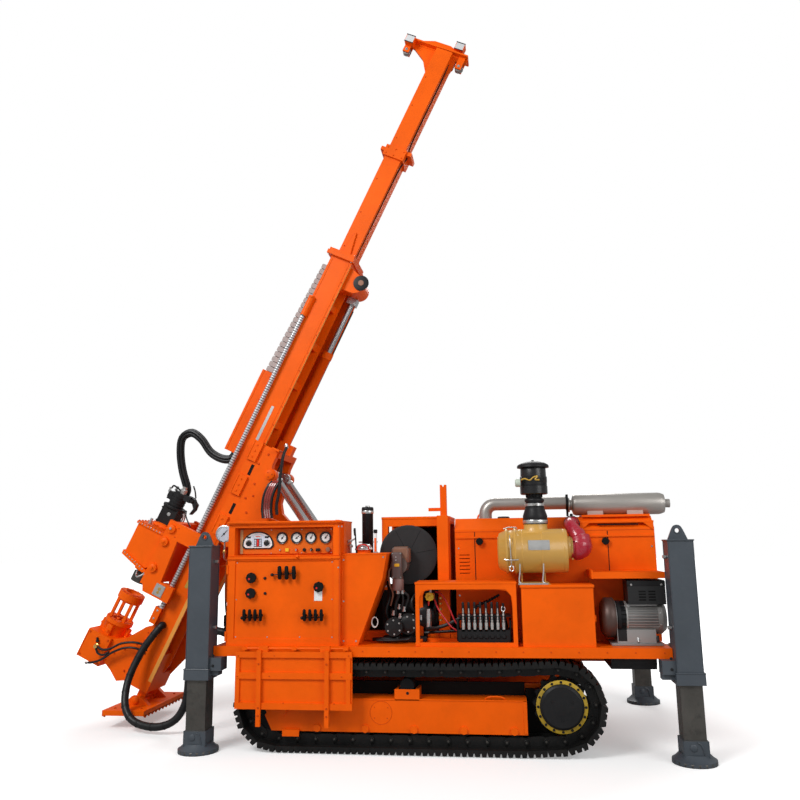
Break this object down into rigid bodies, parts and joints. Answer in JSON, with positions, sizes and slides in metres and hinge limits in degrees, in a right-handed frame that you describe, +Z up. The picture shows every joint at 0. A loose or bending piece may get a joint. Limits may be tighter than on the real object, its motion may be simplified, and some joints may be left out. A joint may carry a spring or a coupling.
{
  "type": "crawler core drilling rig",
  "caption": "Self-propelled core drilling rig on crawler tracks with a tilting, sliding mast, top-drive head, rod clamp, winch, engine housing, control cabinet and corner jacks.",
  "frame": {"origin": "on the ground, at the middle of the bounding box in plan", "axes": "+Z up, +X from the mast's foot towards the engine end, -Y towards the operator's side"},
  "size_m": [5.7021, 2.51, 7.087],
  "materials": {
    "orange_paint": "semi-gloss",
    "slate_paint": "semi-gloss",
    "black_parts": "satin",
    "track_steel": "worn",
    "bright_steel": "polished",
    "tan_paint": "semi-gloss",
    "crimson_rubber": "semi-gloss",
    "grey_casting": "satin"
  },
  "bodies": {
    "chassis": {"accumulator": "black_parts", "air_cleaner": "tan_paint", "control_cabinet": "orange_paint", "deck_frame": "orange_paint", "dial_panel": "grey_casting", "drive_sprocket_left": "black_parts", "drive_sprocket_right": "black_parts", "engine_block": "grey_casting", "engine_hood": "orange_paint", "exhaust_pipe": "bright_steel", "generator": "grey_casting", "hydraulic_tank": "orange_paint", "intake_elbow": "crimson_rubber", "jack_sleeve_front_left": "slate_paint", "jack_sleeve_front_right": "slate_paint", "jack_sleeve_rear_left": "slate_paint", "jack_sleeve_rear_right": "slate_paint", "mast_trestle": "orange_paint", "muffler": "bright_steel", "pre_cleaner": "black_parts", "tool_box": "orange_paint", "track_frame_left": "orange_paint", "track_frame_right": "orange_paint", "track_left": "track_steel", "track_right": "track_steel", "under_tray": "black_parts", "undercarriage_frame": "orange_paint", "valve_bank": "black_parts", "valve_frame": "orange_paint", "winch_frame": "orange_paint", "winch_motor": "grey_casting"},
    "mast_bracket": {"mast_bracket": "orange_paint", "slide_cylinder_barrel": "orange_paint"},
    "mast": {"mast": "orange_paint", "mast_extension": "orange_paint", "slide_cylinder_rod": "bright_steel", "rod_clamp": "orange_paint"},
    "head": {"head_carriage": "orange_paint", "rotary_head": "orange_paint", "head_motor": "black_parts"},
    "spindle": {"spindle": "bright_steel"},
    "crown_sheave_front": {"crown_sheave_front": "grey_casting"},
    "crown_sheave_rear": {"crown_sheave_rear": "grey_casting"},
    "ground_foot": {"ground_foot": "orange_paint"},
    "winch_drum": {"winch_drum": "black_parts"},
    "tilt_barrel_left": {"tilt_barrel_left": "orange_paint"},
    "tilt_rod_left": {"tilt_rod_left": "bright_steel"},
    "tilt_barrel_right": {"tilt_barrel_right": "orange_paint"},
    "tilt_rod_right": {"tilt_rod_right": "bright_steel"},
    "jack_leg_front_left": {"jack_leg_front_left": "black_parts"},
    "jack_leg_front_right": {"jack_leg_front_right": "black_parts"},
    "jack_leg_rear_left": {"jack_leg_rear_left": "black_parts"},
    "jack_leg_rear_right": {"jack_leg_rear_right": "black_parts"},
    "folding_platform": {"folding_platform": "orange_paint"},
    "hood_door_a": {"hood_door_a": "orange_paint"},
    "hood_door_b": {"hood_door_b": "orange_paint"}
  },
  "joints": [
    {"name": "mast_tilt", "type": "hinge", "parent": "chassis", "child": "mast_bracket", "pos_m": [-0.803, 0, 1.761], "axis": [0, 1, 0], "range_deg": [-25.6, 64.4]},
    {"name": "mast_slide", "type": "slide", "parent": "mast_bracket", "child": "mast", "axis": [0.4321, 0, 0.9018], "range_m": [-0.05, 0.75]},
    {"name": "head_feed", "type": "slide", "parent": "mast", "child": "head", "axis": [0.4321, 0, 0.9018], "range_m": [-0.08, 2.9]},
    {"name": "spindle_spin", "type": "hinge", "parent": "head", "child": "spindle", "pos_m": [-2.19273, 0, 1.68392], "axis": [0.4321, 0, 0.9018], "continuous": true},
    {"name": "crown_sheave_front_spin", "type": "hinge", "parent": "mast", "child": "crown_sheave_front", "pos_m": [0.44244, 0, 6.9525], "axis": [0, 1, 0], "continuous": true},
    {"name": "crown_sheave_rear_spin", "type": "hinge", "parent": "mast", "child": "crown_sheave_rear", "pos_m": [1.00157, 0, 6.68461], "axis": [0, 1, 0], "continuous": true},
    {"name": "ground_foot_swivel", "type": "hinge", "parent": "mast", "child": "ground_foot", "pos_m": [-2.24, 0, 0.215], "axis": [0, 1, 0], "range_deg": [-35, 35]},
    {"name": "winch_drum_spin", "type": "hinge", "parent": "chassis", "child": "winch_drum", "pos_m": [0.44, -0.3, 1.555], "axis": [0, 1, 0], "continuous": true},
    {"name": "folding_platform_hinge", "type": "hinge", "parent": "chassis", "child": "folding_platform", "pos_m": [-0.44, -1.125, 0.815], "axis": [-1, 0, 0], "range_deg": [0, 90]},
    {"name": "hood_door_a_hinge", "type": "hinge", "parent": "chassis", "child": "hood_door_a", "pos_m": [1.055, 0.765, 1.34], "axis": [0, 0, 1], "range_deg": [0, 100]},
    {"name": "hood_door_b_hinge", "type": "hinge", "parent": "chassis", "child": "hood_door_b", "pos_m": [2.425, 0.765, 1.34], "axis": [0, 0, -1], "range_deg": [0, 100]},
    {"name": "tilt_barrel_left_swing", "type": "hinge", "parent": "chassis", "child": "tilt_barrel_left", "pos_m": [0.055, -0.19, 0.93], "axis": [0, 1, 0], "range_deg": [-9, 18]},
    {"name": "tilt_rod_left_slide", "type": "slide", "parent": "tilt_barrel_left", "child": "tilt_rod_left", "axis": [-0.5764, 0, 0.8172], "range_m": [-0.41, 0.165]},
    {"name": "tilt_barrel_right_swing", "type": "hinge", "parent": "chassis", "child": "tilt_barrel_right", "pos_m": [0.055, 0.19, 0.93], "axis": [0, 1, 0], "range_deg": [-9, 18]},
    {"name": "tilt_rod_right_slide", "type": "slide", "parent": "tilt_barrel_right", "child": "tilt_rod_right", "axis": [-0.5764, 0, 0.8172], "range_m": [-0.41, 0.165]},
    {"name": "jack_front_left_slide", "type": "slide", "parent": "chassis", "child": "jack_leg_front_left", "axis": [0, 0, 1], "range_m": [0, 0.38]},
    {"name": "jack_front_right_slide", "type": "slide", "parent": "chassis", "child": "jack_leg_front_right", "axis": [0, 0, 1], "range_m": [0, 0.38]},
    {"name": "jack_rear_left_slide", "type": "slide", "parent": "chassis", "child": "jack_leg_rear_left", "axis": [0, 0, 1], "range_m": [0, 0.38]},
    {"name": "jack_rear_right_slide", "type": "slide", "parent": "chassis", "child": "jack_leg_rear_right", "axis": [0, 0, 1], "range_m": [0, 0.38]}
  ],
  "couplings": [
    {"joint": "tilt_barrel_left_swing", "follows": "mast_tilt", "ratio": 0.26},
    {"joint": "tilt_rod_left_slide", "follows": "mast_tilt", "m_per_rad": -0.36},
    {"joint": "tilt_barrel_right_swing", "follows": "mast_tilt", "ratio": 0.26},
    {"joint": "tilt_rod_right_slide", "follows": "mast_tilt", "m_per_rad": -0.36}
  ]
}
